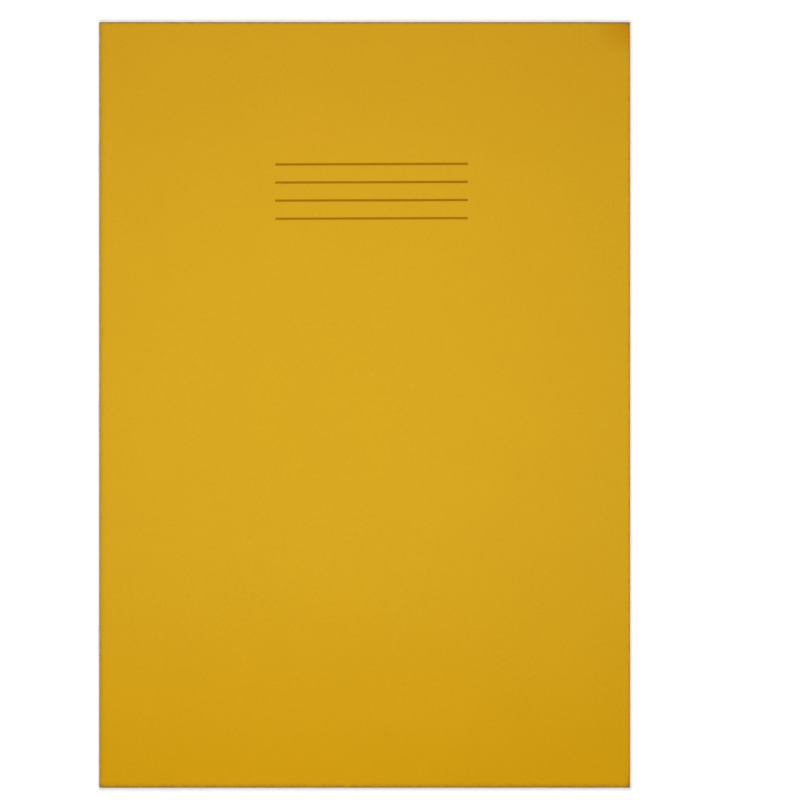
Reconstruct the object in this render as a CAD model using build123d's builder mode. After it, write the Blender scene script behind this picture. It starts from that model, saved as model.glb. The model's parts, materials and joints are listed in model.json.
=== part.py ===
from build123d import *
from math import asin, cos, degrees, sin
import os

os.makedirs("parts", exist_ok=True)

# The book lies closed on its back cover: spine at -X, head at +Y, front cover on top at +Z.

# Book size
page_height = 297.0
book_width = 206.0
sheet_count = 16

# Paper, card and the air between two layers
paper = 0.10
card = 0.30
air = 0.03

# Staples: wire diameter, outside length of the crown, gap between the two clinched tips
wire = 0.50
crown_length = 12.5
tip_gap = 2.0

# Staple centres: in from the head, in from the tail, and below the middle of the spine
head_inset = 53.0
tail_inset = 57.0
middle_drop = 4.5

# Room round a staple leg in its holes, and round the clinched tips in the innermost fold
leg_room = 0.05
clinch_room = 0.10

# Flat room past a staple leg on each side of a fold, so that a turned leaf ends clear of the wire
flat_room = 0.20

# Fold radii, counted out from the middle of the book
inner_radius = wire / 2 + clinch_room
first_radius = inner_radius + (sheet_count - 1) * (paper + air)
cover_radius = first_radius + paper + air
spine_radius = cover_radius + card

# Every fold bends about one line along Y, and the staple crowns stand out behind the spine
fore_edge = (book_width + wire) / 2
spine_face = fore_edge - book_width
fold_x = spine_face + spine_radius
fold_z = spine_radius
flat = wire / 2 + flat_room
reach = fore_edge - fold_x

# The clinched tips hold the middle open, so the front half leans down until the fore-edge closes
lean = asin((2 * inner_radius - air) / reach)

# Staple lines: crown behind the spine, legs through the folds, tips inside the innermost fold
crown_x = spine_face - wire / 2
tip_x = fold_x - inner_radius + wire / 2
leg_half = (crown_length - wire) / 2
bend = 0.6 * wire
staple_y = {
    "head_staple": page_height / 2 - head_inset,
    "middle_staple": -middle_drop,
    "tail_staple": tail_inset - page_height / 2,
}


def front(along, out):
    """Section point in the front half: along a panel from the fold line, and out from that line."""
    return (fold_x + along * cos(lean) + out * sin(lean), fold_z - along * sin(lean) + out * cos(lean))


def back(along, out):
    """Section point in the back half, which lies flat."""
    return (fold_x + along, fold_z - out)


def front_trim(out):
    """Section point where a front panel meets the upright cut of the fore-edge."""
    return (fore_edge, fold_z + (out - reach * sin(lean)) / cos(lean))


def back_trim(out):
    """Section point where a back panel meets the upright cut of the fore-edge."""
    return (fore_edge, fold_z - out)


def save(part, name):
    """Label a finished piece and write it to its own file."""
    part.label = name
    export_step(part, f"parts/{name}.step")


def flat_panel(name, half, trim, near, thickness):
    """A flat leaf or cover panel, from its fold out to the trimmed fore-edge."""
    far = near + thickness
    with BuildPart() as panel:
        with BuildSketch(Plane.XZ):
            with BuildLine():
                Polyline(half(flat, near), trim(near), trim(far), half(flat, far), close=True)
            make_face()
        extrude(amount=page_height / 2, both=True)
    save(panel.part, name)


def folded_strip(name, near, thickness):
    """The bent strip that joins a front panel to its back panel, pierced by every staple leg."""
    far = near + thickness
    turn = degrees(lean)
    with BuildPart() as strip:
        with BuildSketch(Plane.XZ):
            with BuildLine():
                CenterArc((fold_x, fold_z), near, 90 - turn, 180 + turn)
                Polyline(back(0, near), back(flat, near), back(flat, far), back(0, far))
                CenterArc((fold_x, fold_z), far, 90 - turn, 180 + turn)
                Polyline(front(0, far), front(flat, far), front(flat, near), front(0, near))
            make_face()
        extrude(amount=page_height / 2, both=True)
        with BuildSketch(Plane.YZ.offset(fold_x)):
            for y in staple_y.values():
                with Locations((y - leg_half, fold_z), (y + leg_half, fold_z)):
                    Circle(wire / 2 + leg_room)
        extrude(amount=-far - card, mode=Mode.SUBTRACT)
    save(strip.part, name)


def staple(name, y):
    """A wire staple: crown outside the spine, both legs clinched towards each other inside."""
    with BuildPart() as bent_wire:
        with BuildLine(Plane.XY.offset(fold_z)) as run:
            FilletPolyline(
                (tip_x, y + tip_gap / 2),
                (tip_x, y + leg_half),
                (crown_x, y + leg_half),
                (crown_x, y - leg_half),
                (tip_x, y - leg_half),
                (tip_x, y - tip_gap / 2),
                radius=bend,
            )
        with BuildSketch(Plane(run.line @ 0, z_dir=run.line % 0)):
            Circle(wire / 2)
        sweep(path=run.line)
    save(bent_wire.part, name)


# Sheets, numbered from the outermost in: each is a front leaf, a fold and a back leaf
for number in range(1, sheet_count + 1):
    sheet = f"sheet_{number:02d}"
    radius = first_radius - (number - 1) * (paper + air)
    flat_panel(f"{sheet}_front_leaf", front, front_trim, radius, paper)
    folded_strip(f"{sheet}_fold", radius, paper)
    flat_panel(f"{sheet}_back_leaf", back, back_trim, radius, paper)

# Card cover: front panel, rounded spine and back panel
flat_panel("front_cover", front, front_trim, cover_radius, card)
folded_strip("cover_spine", cover_radius, card)
flat_panel("back_cover", back, back_trim, cover_radius, card)

# Staples down the spine
for name, y in staple_y.items():
    staple(name, y)
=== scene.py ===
import json
import math
import random

import bmesh
import bpy
import numpy as np
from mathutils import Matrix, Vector

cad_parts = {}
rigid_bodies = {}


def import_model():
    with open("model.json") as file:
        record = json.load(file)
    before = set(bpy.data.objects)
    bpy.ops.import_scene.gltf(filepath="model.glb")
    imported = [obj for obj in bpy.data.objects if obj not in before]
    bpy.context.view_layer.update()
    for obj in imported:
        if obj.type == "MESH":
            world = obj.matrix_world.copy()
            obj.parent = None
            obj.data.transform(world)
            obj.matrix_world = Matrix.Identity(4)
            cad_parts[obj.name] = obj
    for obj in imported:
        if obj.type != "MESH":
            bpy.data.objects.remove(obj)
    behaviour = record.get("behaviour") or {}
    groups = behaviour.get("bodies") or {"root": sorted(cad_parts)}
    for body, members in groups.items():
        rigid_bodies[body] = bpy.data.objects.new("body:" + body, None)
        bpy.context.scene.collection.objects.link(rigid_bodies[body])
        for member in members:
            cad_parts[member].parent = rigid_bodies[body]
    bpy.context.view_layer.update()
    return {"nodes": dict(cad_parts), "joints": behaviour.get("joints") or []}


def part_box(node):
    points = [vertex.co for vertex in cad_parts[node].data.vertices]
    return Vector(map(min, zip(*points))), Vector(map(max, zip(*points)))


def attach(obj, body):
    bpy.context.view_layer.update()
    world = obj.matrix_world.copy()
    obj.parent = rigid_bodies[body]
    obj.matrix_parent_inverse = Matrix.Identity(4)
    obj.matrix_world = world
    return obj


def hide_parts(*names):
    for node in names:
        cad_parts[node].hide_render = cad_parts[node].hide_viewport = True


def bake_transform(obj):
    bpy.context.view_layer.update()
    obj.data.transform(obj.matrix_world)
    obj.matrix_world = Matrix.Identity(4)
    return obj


for leftover in list(bpy.data.objects):
    bpy.data.objects.remove(leftover)
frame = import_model()
chance = random.Random(7)
MM = 0.001


# Sizes in millimetres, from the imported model

def box_mm(node):
    """A node's lowest and highest corners in millimetres."""
    return [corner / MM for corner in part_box(node)]


joints = {joint["name"]: joint for joint in frame["joints"]}
fold = Vector(joints["book_opening"]["pos_m"]) / MM
sheet_count = sum(name.endswith("_fold") for name in frame["nodes"])
panel_low, panel_high = box_mm("back_cover")
half_height = panel_high.y
height = 2 * half_height
fore_edge = panel_high.x
reach = fore_edge - fold.x
flat = panel_low.x - fold.x
spine_radius = fold.z
cover_radius = fold.z - panel_high.z
width = reach + spine_radius
inner_back = box_mm(f"sheet_{sheet_count:02d}_back_leaf")[1].z
inner_front = box_mm(f"sheet_{sheet_count:02d}_front_leaf")[0].z
lean = math.asin((2 * fold.z - inner_back - inner_front) / reach)
staple_boxes = {name: box_mm(name) for name in ("head_staple", "middle_staple", "tail_staple")}

# Card that goes round the spine beyond what is seen from above, and the spine's outer line on the flat card
round_spine = (math.pi - 2) * spine_radius
spine_edge = -round_spine / 2


# Sizes in millimetres that only the drawn book has

# Leaves: share of the opening made beside the fold, the way over which it fades, and play of the trimming
gutter_rise = 0.1
gutter_fade = 30.0
trim_play = 0.09

# Card: length that bends at the front crease, width that is crushed at the cut edges, and share of the
# thickness lost there
crease_length = 1.1
crush_width = 0.35
crush_share = 0.45

# Corner at the head of the fore-edge: how far the press reaches, and share of the height lost
press_reach = 15.0
press_share = 0.13

# Staples squeeze the air out at the fold: each layer lies this much deeper there than the next one in
squeezed = 0.022

# Staple crowns: depth in the spine, and the grooves' half width, fade past both ends and extra rows of card
crown_sunk = 0.36
groove_half = 0.45
groove_fade = 0.35
groove_rows = (-0.6, -0.3, 0, 0.3, 0.6)

# Staple wire: radius of its bends; straight start, bow and half gap of its clinched tips; and share of the
# thickness left at their chisel cut
wire_bend = 0.3
tip_start = 0.8
tip_bow = 0.2
half_tip_gap = 1.0
chisel = 0.35

# Printed rules on the front, measured from the spine and from the head
rule_count = 4
rule_first = 55.1
rule_pitch = 7.02
rule_from = 68.4
rule_to = 143.1
rule_width = 0.92
rule_rise = 0.0035
rule_wander = 0.06
rule_end = 0.1

# Page ruling, measured from the left of each page and from the head
feint_count = 33
feint_first = 25.0
feint_pitch = 8.0
feint_width = 0.28
margin_at = 25.0
margin_width = 0.32

# Painted shade along the trimmed edges of the cover: how fast it fades, and how wide it rounds the corners
edge_shade_fade_side = 0.6
edge_shade_fade_head = 0.45
edge_shade_fade_tail = 0.28
edge_shade_corner = 1.6


# Colours

card_middle = (0.696, 0.389, 0.0118, 1)
card_head = (0.70, 0.372, 0.012, 1)
card_tail = (0.712, 0.367, 0.002, 1)
card_inside = (0.71, 0.42, 0.02)
card_cut_pale = (0.60, 0.36, 0.035, 1)
card_cut_dark = (0.46, 0.26, 0.02, 1)
speck_pale = (0.86, 0.66, 0.20, 1)
speck_dark = (0.46, 0.25, 0.01, 1)
rule_ink = (0.38, 0.162, 0.0, 1)
# The next three colours paint shade: at the pressed corner, along the trimmed edges, and in the dents at the
# staple legs. The second also darkens the rubbed spine, as wear.
pressed_corner_shade = (0.58, 0.235, 0.0, 1)
soil_and_edge_shade = (0.22, 0.135, 0.04, 1)
leg_shade = (0.16, 0.09, 0.015, 1)
page_white = (0.86, 0.86, 0.835)
paper_cut_pale = (0.86, 0.86, 0.83, 1)
paper_cut_dark = (0.78, 0.775, 0.74, 1)
feint_ink = (0.40, 0.42, 0.45, 1)
margin_ink = (0.72, 0.14, 0.15, 1)
zinc_dark = (0.30, 0.31, 0.32, 1)
zinc_pale = (0.56, 0.57, 0.58, 1)
zinc_dull = (0.27, 0.27, 0.26, 1)
floor_white = (0.8, 0.8, 0.8, 1)
full_white = (1, 1, 1, 1)


# Shader nodes

def add(tree, kind, inputs=None, **settings):
    """Adds a shader node: settings are its properties, inputs are values or sockets to link."""
    made = tree.nodes.new("ShaderNode" + kind)
    for key, value in settings.items():
        setattr(made, key, value)
    for key, value in (inputs or {}).items():
        if isinstance(value, bpy.types.NodeSocket):
            tree.links.new(value, made.inputs[key])
        else:
            made.inputs[key].default_value = value
    return made


def calc(tree, operation, *values):
    """The result of one Math node."""
    return add(tree, "Math", dict(enumerate(values)), operation=operation).outputs[0]


def scaled(tree, vector, factor):
    """A vector or a colour times a factor."""
    return add(tree, "VectorMath", {0: vector, "Scale": factor}, operation="SCALE").outputs[0]


def distance(tree, at, point):
    """How far a place is from a point."""
    return add(tree, "VectorMath", {0: at, 1: point}, operation="DISTANCE").outputs["Value"]


def ramp(tree, value, start, end, first=0.0, last=1.0):
    """Goes smoothly from first to last as value goes from start to end."""
    ends = {"From Min": start, "From Max": end, "To Min": first, "To Max": last}
    made = add(tree, "MapRange", {"Value": value, **ends}, interpolation_type="SMOOTHSTEP")
    return made.outputs["Result"]


def mix(tree, factor, first, second):
    """A colour between first and second."""
    inputs = {0: factor, 6: first, 7: second}
    return add(tree, "Mix", inputs, data_type="RGBA").outputs[2]


def noise(tree, at, own, scale, detail=4.0, rough=0.6):
    """A noise value from 0 to 1, with scale cells in a millimetre and its own pattern for each piece."""
    inputs = {"Vector": at, "Scale": scale, "Detail": detail, "Roughness": rough, "W": own}
    return add(tree, "TexNoise", inputs, noise_dimensions="4D").outputs["Fac"]


def drawn_noise(tree, at, own, angle, length, thickness, detail=2.0, rough=0.5):
    """Noise drawn out into strands at an angle in degrees, with their size in millimetres."""
    inputs = {"Vector": at, "Rotation": (0, 0, math.radians(angle)), "Scale": (length, thickness, 1)}
    turned = add(tree, "Mapping", inputs, vector_type="TEXTURE").outputs["Vector"]
    return noise(tree, turned, own, 1.0, detail, rough)


def strands(tree, at, own, length, thickness):
    """Fibres that cross at four angles, from 0 between them to 1 on top."""
    top = 0.0
    for angle in (12, 58, 101, 147):
        top = calc(tree, "MAXIMUM", drawn_noise(tree, at, own, angle, length, thickness), top)
    return ramp(tree, top, start=0.52, end=0.78)


# The value of strands() that leaves a shade as it is
fibre_middle = 0.45


def varied(tree, shade, value, amount, middle=0.5):
    """Adds a value's departure from its middle, times an amount, to a shade or a length."""
    return calc(tree, "MULTIPLY_ADD", calc(tree, "SUBTRACT", value, middle), amount, shade)


def worn(tree, away, uneven, ragged, outer, inner, strength):
    """Wear with a ragged border: none further away than outer, and at its strength nearer than inner."""
    return ramp(tree, varied(tree, away, uneven, ragged), outer, inner, last=strength)


def nearest_line(tree, level, first, pitch, count):
    """Distance from the nearest of count lines that start at first, pitch apart."""
    steps = calc(tree, "DIVIDE", calc(tree, "SUBTRACT", level, first), pitch)
    line = calc(tree, "MINIMUM", calc(tree, "MAXIMUM", calc(tree, "ROUND", steps), 0.0), count - 1.0)
    return calc(tree, "MULTIPLY", calc(tree, "ABSOLUTE", calc(tree, "SUBTRACT", steps, line)), pitch)


def on_line(tree, off, thickness):
    """One on a line and nought beside it, from the distance off its middle. The border is soft."""
    outside, inside = 0.7, 0.3
    return ramp(tree, off, thickness * outside, thickness * inside)


def flat_place(tree, spread=60.0):
    """Place on the flat sheet in millimetres, and the piece's own number, from 0 to spread, for its noise."""
    uv = add(tree, "UVMap", uv_map="Flat").outputs["UV"]
    own = calc(tree, "MULTIPLY", add(tree, "ObjectInfo").outputs["Random"], spread)
    return scaled(tree, uv, 1 / MM), own


def split(tree, at):
    """How far a place lies across the flat sheet, and how far down from the head."""
    parts = add(tree, "SeparateXYZ", {0: at}).outputs
    return parts["X"], parts["Y"]


def new_material(name, specular):
    """An empty material, its node tree and its shader."""
    made = bpy.data.materials.new(name)
    made.use_nodes = True
    shader = made.node_tree.nodes["Principled BSDF"]
    shader.inputs["Specular IOR Level"].default_value = specular
    return made, made.node_tree, shader


def fibre_rough(tree, fibres, least, added):
    """Roughness that is least between the fibres, with more added on top of them."""
    return calc(tree, "MULTIPLY_ADD", fibres, added, least)


def finish_surface(tree, shader, colour, rough, relief, depth):
    """Links colour and roughness, and raises the relief by a depth in millimetres."""
    bump = add(tree, "Bump", {"Strength": 0.6, "Distance": depth * MM, "Height": relief})
    tree.links.new(bump.outputs["Normal"], shader.inputs["Normal"])
    tree.links.new(colour, shader.inputs["Base Color"])
    tree.links.new(rough, shader.inputs["Roughness"])


# Materials

def dyed_card(tree, at, own, base):
    """Card dyed through: cloudy mottling, crossing fibres, and a few pale and dark specks."""
    cloud = noise(tree, at, own, scale=0.035)
    grain = noise(tree, at, own, scale=0.9, rough=0.65)
    fibres = strands(tree, at, own, length=1.3, thickness=0.16)
    shade = varied(tree, 1.0, cloud, amount=0.05)
    shade = varied(tree, shade, grain, amount=0.10)
    shade = varied(tree, shade, fibres, amount=0.07, middle=fibre_middle)
    colour = scaled(tree, base, shade)
    speck = drawn_noise(tree, at, own, angle=31, length=0.6, thickness=0.24)
    colour = mix(tree, ramp(tree, speck, start=0.70, end=0.76, last=0.35), colour, speck_pale)
    colour = mix(tree, ramp(tree, speck, start=0.30, end=0.24, last=0.30), colour, speck_dark)
    return colour, fibres


def printed_rules(tree, at, across, down, own, colour):
    """Four printed label rules, rising a little to the right, with slightly broken ink."""
    level = varied(tree, down, across, rule_rise, middle=(rule_from + rule_to) / 2)
    wander = noise(tree, at, own, scale=0.25, detail=3.0, rough=0.55)
    level = varied(tree, level, wander, rule_wander)
    line = on_line(tree, nearest_line(tree, level, rule_first, rule_pitch, rule_count), rule_width)
    begun = ramp(tree, across, rule_from - rule_end, rule_from + rule_end)
    ended = ramp(tree, across, rule_to + rule_end, rule_to - rule_end)
    broken = noise(tree, at, own, scale=3.0, detail=3.0, rough=0.55)
    solid = ramp(tree, broken, start=0.15, end=0.5, first=0.8)
    ink = calc(tree, "MULTIPLY", line, solid)
    ink = calc(tree, "MULTIPLY", ink, calc(tree, "MINIMUM", begun, ended))
    return mix(tree, ink, colour, rule_ink)


def wear_and_painted_shade(tree, at, across, down, own, colour):
    """Painted shade at the pressed corner, a rubbed spine, and painted shade along the trimmed edges."""
    uneven = noise(tree, at, own, scale=0.5)
    # Painted shade at the pressed corner at the head of the fore-edge
    corner = distance(tree, at, (width, 0, 0))
    corner_shade = worn(tree, corner, uneven, ragged=4.0, outer=16.0, inner=1.0, strength=0.58)
    colour = mix(tree, corner_shade, colour, pressed_corner_shade)
    to_spine = calc(tree, "ABSOLUTE", calc(tree, "SUBTRACT", across, spine_edge))
    rubbed = worn(tree, to_spine, uneven, ragged=-1.5, outer=3.6, inner=1.0, strength=0.3)
    colour = mix(tree, rubbed, colour, soil_and_edge_shade)
    # Painted shade along the trimmed edges, widest at the tail
    to_front = calc(tree, "SUBTRACT", width, across)
    to_back = calc(tree, "ADD", across, width + round_spine)
    to_side = calc(tree, "MULTIPLY", calc(tree, "MINIMUM", to_front, to_back), edge_shade_fade_side)
    to_head = calc(tree, "MULTIPLY", down, edge_shade_fade_head)
    to_tail = calc(tree, "MULTIPLY", calc(tree, "SUBTRACT", height, down), edge_shade_fade_tail)
    to_end = calc(tree, "MINIMUM", to_head, to_tail)
    edge = calc(tree, "SMOOTH_MIN", to_side, to_end, edge_shade_corner)
    painted_edge_shade = worn(tree, edge, uneven, ragged=-0.5, outer=0.55, inner=-0.2, strength=0.9)
    return mix(tree, painted_edge_shade, colour, soil_and_edge_shade)


def painted_leg_shade(tree, at, own, colour):
    """Painted shade: dark spots on the spine where the staple legs pull the card in."""
    nearest = height
    for low, high in staple_boxes.values():
        for y in (low.y, high.y):
            apart = distance(tree, at, (spine_edge, half_height - y, 0))
            nearest = calc(tree, "MINIMUM", apart, nearest)
    uneven = noise(tree, at, own, scale=1.1, detail=5.0, rough=0.7)
    shade_spot = worn(tree, nearest, uneven, ragged=5.0, outer=2.4, inner=0.4, strength=0.55)
    return mix(tree, shade_spot, colour, leg_shade)


def cover_outside():
    """Yellow manila card, deeper yellow towards head and tail, printed, rubbed at the spine, and with painted
    shade.
    """
    made, tree, shader = new_material("cover_outside", specular=0.05)
    at, own = flat_place(tree)
    across, down = split(tree, at)
    yellow = mix(tree, ramp(tree, down, start=100.0, end=-20.0), card_middle, card_head)
    yellow = mix(tree, ramp(tree, down, start=190.0, end=310.0), yellow, card_tail)
    colour, fibres = dyed_card(tree, at, own, yellow)
    colour = printed_rules(tree, at, across, down, own, colour)
    colour = wear_and_painted_shade(tree, at, across, down, own, colour)
    colour = painted_leg_shade(tree, at, own, colour)
    rough = fibre_rough(tree, fibres, least=0.64, added=0.12)
    finish_surface(tree, shader, colour, rough, fibres, depth=0.02)
    return made


def cover_inside():
    """The plain inner side of the same card."""
    made, tree, shader = new_material("cover_inside", specular=0.12)
    at, own = flat_place(tree)
    colour, fibres = dyed_card(tree, at, own, card_inside)
    rough = fibre_rough(tree, fibres, least=0.74, added=0.1)
    finish_surface(tree, shader, colour, rough, fibres, depth=0.025)
    return made


def cut_edge(name, pale, dark):
    """The cut through card or paper: torn fibres in pale and darker streaks."""
    made, tree, shader = new_material(name, specular=0.12)
    at, own = flat_place(tree)
    streaks = noise(tree, at, own, scale=1.4, rough=0.65)
    colour = mix(tree, ramp(tree, streaks, start=0.3, end=0.7), pale, dark)
    rough = ramp(tree, streaks, start=0.2, end=0.8, first=0.85, last=0.95)
    finish_surface(tree, shader, colour, rough, streaks, depth=0.02)
    return made


def ruled_page():
    """White writing paper, feint ruled across, with a red margin at the left of every page."""
    made, tree, shader = new_material("ruled_page", specular=0.2)
    at, own = flat_place(tree)
    across, down = split(tree, at)
    cloud = noise(tree, at, own, scale=0.25, rough=0.65)
    fibres = strands(tree, at, own, length=0.9, thickness=0.12)
    shade = varied(tree, 1.0, cloud, amount=0.05)
    shade = varied(tree, shade, fibres, amount=0.03, middle=fibre_middle)
    colour = scaled(tree, page_white, shade)
    solid = ramp(tree, noise(tree, at, own, scale=2.5, detail=3.0), start=0.2, end=0.6, first=0.7)
    off = nearest_line(tree, down, feint_first, feint_pitch, feint_count)
    feint = calc(tree, "MULTIPLY", on_line(tree, off, feint_width), solid)
    colour = mix(tree, feint, colour, feint_ink)
    off = calc(tree, "ABSOLUTE", calc(tree, "SUBTRACT", across, margin_at))
    margin = calc(tree, "MULTIPLY", on_line(tree, off, margin_width), solid)
    colour = mix(tree, margin, colour, margin_ink)
    rough = fibre_rough(tree, fibres, least=0.75, added=0.1)
    finish_surface(tree, shader, colour, rough, fibres, depth=0.012)
    return made


def galvanised_wire():
    """Zinc-coated wire with drawn streaks and dull patches."""
    made, tree, shader = new_material("galvanised_wire", specular=0.5)
    shader.inputs["Metallic"].default_value = 1.0
    at, own = flat_place(tree)
    streaks = drawn_noise(tree, at, own, angle=0, length=2.0, thickness=0.07, detail=4.0, rough=0.6)
    dull = noise(tree, at, own, scale=1.6)
    colour = mix(tree, streaks, zinc_dark, zinc_pale)
    colour = mix(tree, ramp(tree, dull, start=0.45, end=0.75, last=0.6), colour, zinc_dull)
    rough = ramp(tree, dull, start=0.3, end=0.75, first=0.26, last=0.55)
    finish_surface(tree, shader, colour, rough, streaks, depth=0.01)
    return made


# Bent sheets of paper and card

def place(part, share, out):
    """Section point at rest: a share of the way along a part of the sheet, and out from the fold line."""
    if part == "back":
        return fold.x + share * reach, fold.z - out
    if part == "fold":
        angle = math.radians(270) - share * (math.pi + lean)
        return fold.x + out * math.cos(angle), fold.z + out * math.sin(angle)
    along = share * (reach - out * math.sin(lean)) / math.cos(lean)
    return (
        fold.x + along * math.cos(lean) + out * math.sin(lean),
        fold.z - along * math.sin(lean) + out * math.cos(lean),
    )


def pressed(x, y, z):
    """The handled corner at the head of the fore-edge is pressed a little thinner."""
    near = max(0.0, 1 - math.hypot(fore_edge - x, half_height - y) / press_reach)
    return z * (1 - press_share * near * near * (3 - 2 * near))


def under_crown(y, share):
    """How far the spine is dented by a staple crown, in millimetres."""
    round_way = (share - 0.5) * math.pi * spine_radius
    dent = 0.0
    for low, high in staple_boxes.values():
        past = max(low.y - y, y - high.y, 0.0)
        near = math.exp(-((round_way / groove_half) ** 2) - (past / groove_fade) ** 2)
        dent += sheet_count * squeezed * near
    return dent


def link(name, mesh, materials, sharp):
    """Turns the faces outwards, shades them smooth up to an angle and puts the mesh in the scene."""
    shaped = bmesh.new()
    shaped.from_mesh(mesh)
    bmesh.ops.recalc_face_normals(shaped, faces=shaped.faces)
    shaped.to_mesh(mesh)
    shaped.free()
    mesh.polygons.foreach_set("use_smooth", [True] * len(mesh.polygons))
    mesh.set_sharp_from_angle(angle=math.radians(sharp))
    for material in materials:
        mesh.materials.append(material)
    made = bpy.data.objects.new(name, mesh)
    bpy.context.scene.collection.objects.link(made)
    return made


# Kinds of face, and the strips of a baked picture that hold them
NEAR, FAR, EDGE = range(3)
page_strips = {NEAR: (0.0, 0.95), FAR: (0.0, 0.95), EDGE: (0.965, 0.995)}
card_strips = {FAR: (0.0, 0.55), NEAR: (0.56, 0.95), EDGE: (0.965, 0.995)}


class Sheet:
    """Paper or card with thickness, built in stations along its section and in rows from tail to head."""

    def __init__(self, name, stations, rows, near, far, trim=0.0, crush=0.0, rise=0.0, drawn=0.0):
        self.name = name
        self.stations = stations
        self.rows = rows
        self.outs = (near, far)
        self.trim = trim
        self.crush = crush
        self.rise = rise
        self.drawn = drawn

    def corner(self, station, y, layer):
        """One vertex: paper drawn in at the fold, card grooved under crowns and crushed at cut edges."""
        part, share = station
        out = self.outs[layer]
        if part == "fold":
            out -= self.drawn * math.sin(math.pi * share) ** 2
        else:
            share *= 1 - self.trim / reach
        if self.crush:
            over = abs(y) - half_height + self.crush
            if part == "fold":
                out -= under_crown(y, share)
            else:
                over = max(over, (share - 1) * reach + self.crush)
            if layer == FAR:
                out -= crush_share * (out - self.outs[NEAR]) * max(over / self.crush, 0.0) ** 2
        x, z = place(part, share, out)
        return x * MM, y * MM, pressed(x, y, z) * MM

    def turn(self, station):
        """Share of the opening that a station makes: even round the fold, easing out of the gutter."""
        part, share = station
        if part == "fold":
            return self.rise + (1 - 2 * self.rise) * share
        eased = self.rise * math.exp(-share * reach / gutter_fade)
        return eased if part == "back" else 1 - eased

    def faces(self):
        """Each face as its kind, its first station and its ring of vertices."""
        ns, nr = len(self.stations), len(self.rows)

        def index(i, j, layer):
            return (i * nr + j) * 2 + layer

        found = []
        for i in range(ns - 1):
            for j in range(nr - 1):
                for layer in (NEAR, FAR):
                    ring = [(i, j), (i + 1, j), (i + 1, j + 1), (i, j + 1)]
                    found.append((layer, i, [index(a, b, layer) for a, b in ring]))
            for j in (0, nr - 1):
                ring = [(i, NEAR), (i + 1, NEAR), (i + 1, FAR), (i, FAR)]
                found.append((EDGE, i, [index(a, j, layer) for a, layer in ring]))
        for i in (0, ns - 1):
            for j in range(nr - 1):
                ring = [(j, NEAR), (j + 1, NEAR), (j + 1, FAR), (j, FAR)]
                found.append((EDGE, min(i, ns - 2), [index(i, b, layer) for b, layer in ring]))
        return found

    def build(self, materials, across, strips):
        """Makes the mesh. across(face kind, face's station, station) is the place across the flat sheet,
        and strips holds each kind of face's strip of the baked picture."""
        ns, nr = len(self.stations), len(self.rows)
        corners = [(at, y, layer) for at in self.stations for y in self.rows for layer in (NEAR, FAR)]
        faces = self.faces()
        mesh = bpy.data.meshes.new(self.name)
        verts = [self.corner(*corner) for corner in corners]
        mesh.from_pydata(verts, [], [ring for kind, i, ring in faces])
        flat_map = mesh.uv_layers.new(name="Flat")
        bake_map = mesh.uv_layers.new(name="OFBake")
        span = [across(FAR, i, i) for i in range(ns - 1)] + [across(NEAR, ns - 2, ns - 1)]
        least, most = min(span), max(span)
        for face, (kind, i, ring) in zip(mesh.polygons, faces):
            face.material_index = kind
            left, right = strips[kind]
            for loop in face.loop_indices:
                column, rest = divmod(mesh.loops[loop].vertex_index, 2 * nr)
                row, layer = divmod(rest, 2)
                u = across(kind, i, column)
                v = half_height - self.rows[row]
                flat_map.uv[loop].vector = (u * MM, v * MM)
                aside = layer if kind == EDGE else (u - least) / (most - least)
                up = (column + row) / (ns + nr) if kind == EDGE else 1 - v / height
                bake_map.uv[loop].vector = (left + (right - left) * aside, up)
        return link(self.name, mesh, materials, sharp=40)

    def bend(self, piece):
        """Moves the piece's placing into its mesh and works out each vertex's share of the opening, which is
        left unused.
        """
        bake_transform(piece)
        turns = np.repeat([self.turn(at) for at in self.stations], 2 * len(self.rows))


# Stations along a leaf or a card panel, in millimetres from the fold: close together where a leaf curves
gutter_steps = [flat, 1.5, 3, 4.5, 6, 8, 10, 12, 14.5, 17, 20, 23, 26.5, 30, 34, 38.5, 44, 50, 58, 68]
panel_steps = [flat, 4, 13, 32, 60]
outer_steps = [85, 107, 130, 150, 166, 178, 186, 192, 197, 200.5]

# Steps round the folds of paper, round the spine and along the front crease
fold_steps = 12
spine_steps = 32
crease_steps = 16

# Rows down a leaf from the head, rows of card in from head and tail, and steps in from its cut edges
leaf_rows = [0, 3, 7, 12, 19, 30, 60, 100, 150, 200, 250, height]
card_rows = [0, 3, 7, 12, 19, 30, 50, 75, 100, 125]
edge_steps = [0.08, 0.18, 0.35, 1.0]


def shares(steps):
    """Stations as shares of the way from the fold to the fore-edge."""
    return [step / reach for step in steps] + [1.0]


def round_stations(count):
    """Stations round a fold, from the back to the front."""
    return [("fold", step / count) for step in range(count + 1)]


def mirrored_rows(steps):
    """Rows from tail to head, with the same steps in from both."""
    upper = sorted(half_height - step for step in steps)
    return [-y for y in reversed(upper)] + [0.0] + upper


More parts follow.
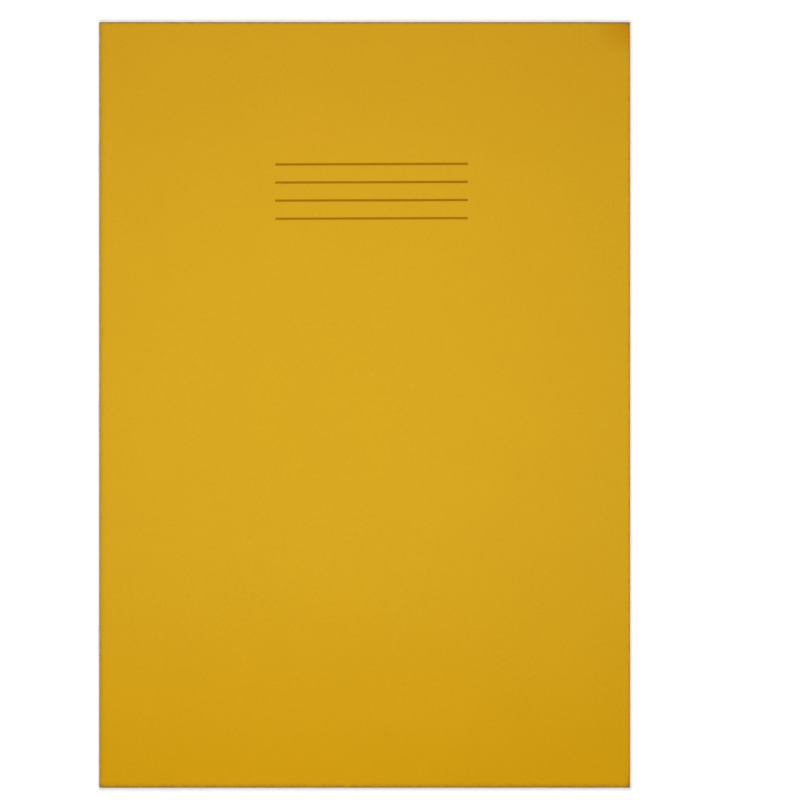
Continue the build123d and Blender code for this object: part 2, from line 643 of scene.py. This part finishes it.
def paper_sheets(page, paper_edge):
    """The folded sheets, the first outermost; both leaves of a sheet bend at its fold."""
    rows = [half_height - step for step in reversed(leaf_rows)]
    leaf = shares(gutter_steps + outer_steps)
    stations = [("back", share) for share in reversed(leaf)]
    stations += round_stations(fold_steps)
    stations += [("front", share) for share in leaf]

    def across(kind, i, column):
        """Place across the page that a face is on, from the left of that page."""
        part, share = stations[column]
        in_front = stations[i + 1][0] == "front" or (stations[i][0] == "fold" and stations[i][1] >= 0.5)
        along = 0.0 if part == "fold" else share * reach
        return along if (kind == FAR) == in_front else reach - along

    for number in range(1, sheet_count + 1):
        tag = f"sheet_{number:02d}"
        low, high = box_mm(f"{tag}_back_leaf")
        near, far = fold.z - high.z, fold.z - low.z
        trim = chance.uniform(0.0, trim_play)
        drawn = squeezed * (sheet_count - number)
        sheet = Sheet(tag, stations, rows, near, far, trim=trim, rise=gutter_rise, drawn=drawn)
        piece = sheet.build([page, page, paper_edge], across, page_strips)
        sheet.bend(piece)
        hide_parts(f"{tag}_front_leaf", f"{tag}_fold", f"{tag}_back_leaf")


def across_card(stations):
    """A function for the place across the flat card, the same for all kinds of face, from the spine's left
    as it is seen from above."""
    def across(kind, i, column):
        part, share = stations[column]
        if part == "front":
            return spine_radius + share * reach
        if part == "fold":
            return spine_radius - (1 - share) * math.pi * spine_radius
        return -spine_radius - round_spine - share * reach

    return across


def card_cover(inside, outside, edge):
    """The folded card: back panel and spine in one, and the front panel that creases beside the spine."""
    crown_ends = [end.y for ends in staple_boxes.values() for end in ends]
    around = [y + step for y in crown_ends for step in groove_rows]
    rows = sorted(mirrored_rows(card_rows + edge_steps) + around)
    panel = sorted(shares(panel_steps + outer_steps) + [1 - step / reach for step in edge_steps])
    wrap_stations = [("back", share) for share in reversed(panel)]
    wrap_stations += round_stations(spine_steps)
    wrap_stations.append(("front", flat / reach))
    crease = [(flat + crease_length * step / crease_steps) / reach for step in range(crease_steps + 1)]
    beyond = [share for share in panel if share > crease[-1]]
    front_stations = [("front", share) for share in crease + beyond]
    materials = [inside, outside, edge]

    wrap = Sheet("cover_back_and_spine", wrap_stations, rows, cover_radius, spine_radius, crush=crush_width)
    piece = wrap.build(materials, across_card(wrap_stations), card_strips)
    wrap.bend(piece)
    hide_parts("back_cover", "cover_spine")

    front = Sheet("cover_front", front_stations, rows, cover_radius, spine_radius, crush=crush_width)
    piece = front.build(materials, across_card(front_stations), card_strips)
    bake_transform(piece)
    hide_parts("front_cover")


# Staples

def bent_line(corners, radius, steps=6):
    """The wire's centre line: straight runs with a round bend at each corner between them."""
    points = [corners[0]]
    for before, corner, after in zip(corners, corners[1:], corners[2:]):
        back = (before - corner).normalized()
        on = (after - corner).normalized()
        middle = corner + (back + on) * radius
        for step in range(steps + 1):
            angle = math.pi / 2 * step / steps
            points.append(middle - (on * math.cos(angle) + back * math.sin(angle)) * radius)
    return points + [corners[-1]]


def wire(name, points, radius, material, sides=14):
    """A round wire in a level plane along the points, with both ends cut to a chisel."""
    verts, faces, flat_places = [], [], []
    run = 0.0
    last = len(points) - 1
    up = Vector((0, 0, 1))
    for i, point in enumerate(points):
        ahead = points[min(i + 1, last)] - points[max(i - 1, 0)]
        aside = up.cross(ahead).normalized()
        run += (point - points[max(i - 1, 0)]).length
        flattened = chisel if i in (0, last) else 1.0
        for step in range(sides):
            angle = 2 * math.pi * step / sides
            ring = aside * math.cos(angle) * flattened + up * math.sin(angle)
            verts.append((point + ring * radius) * MM)
            flat_places.append((run * MM, angle * radius * MM))
    for i in range(last):
        for step in range(sides):
            a, b = i * sides + step, i * sides + (step + 1) % sides
            faces.append((a, b, b + sides, a + sides))
    faces += [tuple(range(sides)), tuple(range(last * sides, len(verts)))]
    mesh = bpy.data.meshes.new(name)
    mesh.from_pydata(verts, [], faces)
    flat_map = mesh.uv_layers.new(name="Flat")
    for loop in mesh.loops:
        flat_map.uv[loop.index].vector = flat_places[loop.vertex_index]
    return link(name, mesh, [material], sharp=50)


def wire_staples(material):
    """Crown pressed into the spine, legs through the folds, tips clinched in a shallow bow inside."""
    for name, (low, high) in staple_boxes.items():
        radius = (high.z - low.z) / 2
        crown, tip = low.x + radius + crown_sunk, high.x - radius
        start, end = low.y + radius, high.y - radius
        middle = (start + end) / 2
        z = (low.z + high.z) / 2
        corners = [(tip, start + tip_start), (tip, start), (crown, start)]
        corners += [(crown, end), (tip, end), (tip, end - tip_start)]
        line = bent_line([Vector((x, y, z)) for x, y in corners], wire_bend)
        clinch = middle - half_tip_gap - line[0].y
        bow = []
        for share in (1.0, 0.95, 0.75, 0.5, 0.25):
            bow.append(Vector((tip_bow * math.sin(math.pi * share), clinch * share, 0)))
        points = [line[0] + step for step in bow] + line
        points += [line[-1] + Vector((step.x, -step.y, 0)) for step in reversed(bow)]
        piece = wire(f"{name}_wire", points, radius, material)
        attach(piece, "spine")
        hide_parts(name)


# Floor, light and camera, in metres

def shows_plainly(tree):
    """One for rays from the camera or a reflection, nought for rays that light the object."""
    rays = add(tree, "LightPath").outputs
    mirrored = calc(tree, "MAXIMUM", rays["Is Glossy Ray"], rays["Is Transmission Ray"])
    return calc(tree, "MAXIMUM", rays["Is Camera Ray"], mirrored)


def white_floor():
    """A plain white table top that keeps the book's soft shadow."""
    bpy.ops.mesh.primitive_plane_add(size=6.0, location=(0, 0, -0.2 * MM))
    floor = bpy.context.object
    floor.name = "floor"
    made = bpy.data.materials.new("white_floor")
    made.use_nodes = True
    tree = made.node_tree
    tree.nodes.clear()
    position = add(tree, "NewGeometry").outputs["Position"]
    away = add(tree, "VectorMath", {0: position}, operation="LENGTH").outputs["Value"]
    brighter = ramp(tree, away, start=0.15, end=0.7, first=0.45, last=0.85)
    strength = calc(tree, "MULTIPLY", shows_plainly(tree), brighter)
    glow = add(tree, "Emission", {"Color": full_white, "Strength": strength}).outputs[0]
    matt = add(tree, "BsdfDiffuse", {"Color": floor_white}).outputs[0]
    both = add(tree, "AddShader", {0: glow, 1: matt}).outputs[0]
    add(tree, "OutputMaterial", {"Surface": both})
    floor.data.materials.append(made)


def soft_light():
    """One soft lamp over the book, and a white surround that lights its sides."""
    lamp = bpy.data.lights.new("key", "AREA")
    lamp.size = 0.25
    lamp.energy = 2.18
    key = bpy.data.objects.new("key", lamp)
    key.location = (-0.02, 0.004, 0.50)
    key.visible_camera = False
    bpy.context.scene.collection.objects.link(key)
    world = bpy.data.worlds.new("surround")
    world.use_nodes = True
    tree = world.node_tree
    background = tree.nodes["Background"]
    background.inputs["Color"].default_value = full_white
    upward = add(tree, "SeparateXYZ", {0: add(tree, "TexCoord").outputs["Generated"]}).outputs["Z"]
    around = ramp(tree, upward, start=0.08, end=0.42, first=2.1, last=0.05)
    inputs = {0: shows_plainly(tree), 2: around, 3: 1.0}
    strength = add(tree, "Mix", inputs, data_type="FLOAT").outputs[0]
    tree.links.new(strength, background.inputs["Strength"])
    bpy.context.scene.world = world


def look_down():
    """A long lens straight above, with the book left of the picture's middle."""
    lens = bpy.data.cameras.new("camera")
    camera = bpy.data.objects.new("camera", lens)
    camera.location = (14.05 * MM, 1.9 * MM, 3.0)
    picture_width = 310.3 * MM
    cover_top = 2 * fold.z * MM
    lens.sensor_width = 36.0
    lens.lens = lens.sensor_width * (camera.location.z - cover_top) / picture_width
    lens.clip_end = 20.0
    bpy.context.scene.collection.objects.link(camera)
    bpy.context.scene.camera = camera


look_down()
paper_sheets(ruled_page(), cut_edge("paper_edge", paper_cut_pale, paper_cut_dark))
card_cover(cover_inside(), cover_outside(), cut_edge("card_edge", card_cut_pale, card_cut_dark))
wire_staples(galvanised_wire())
white_floor()
soft_light()
bpy.context.scene.view_settings.view_transform = "Standard"
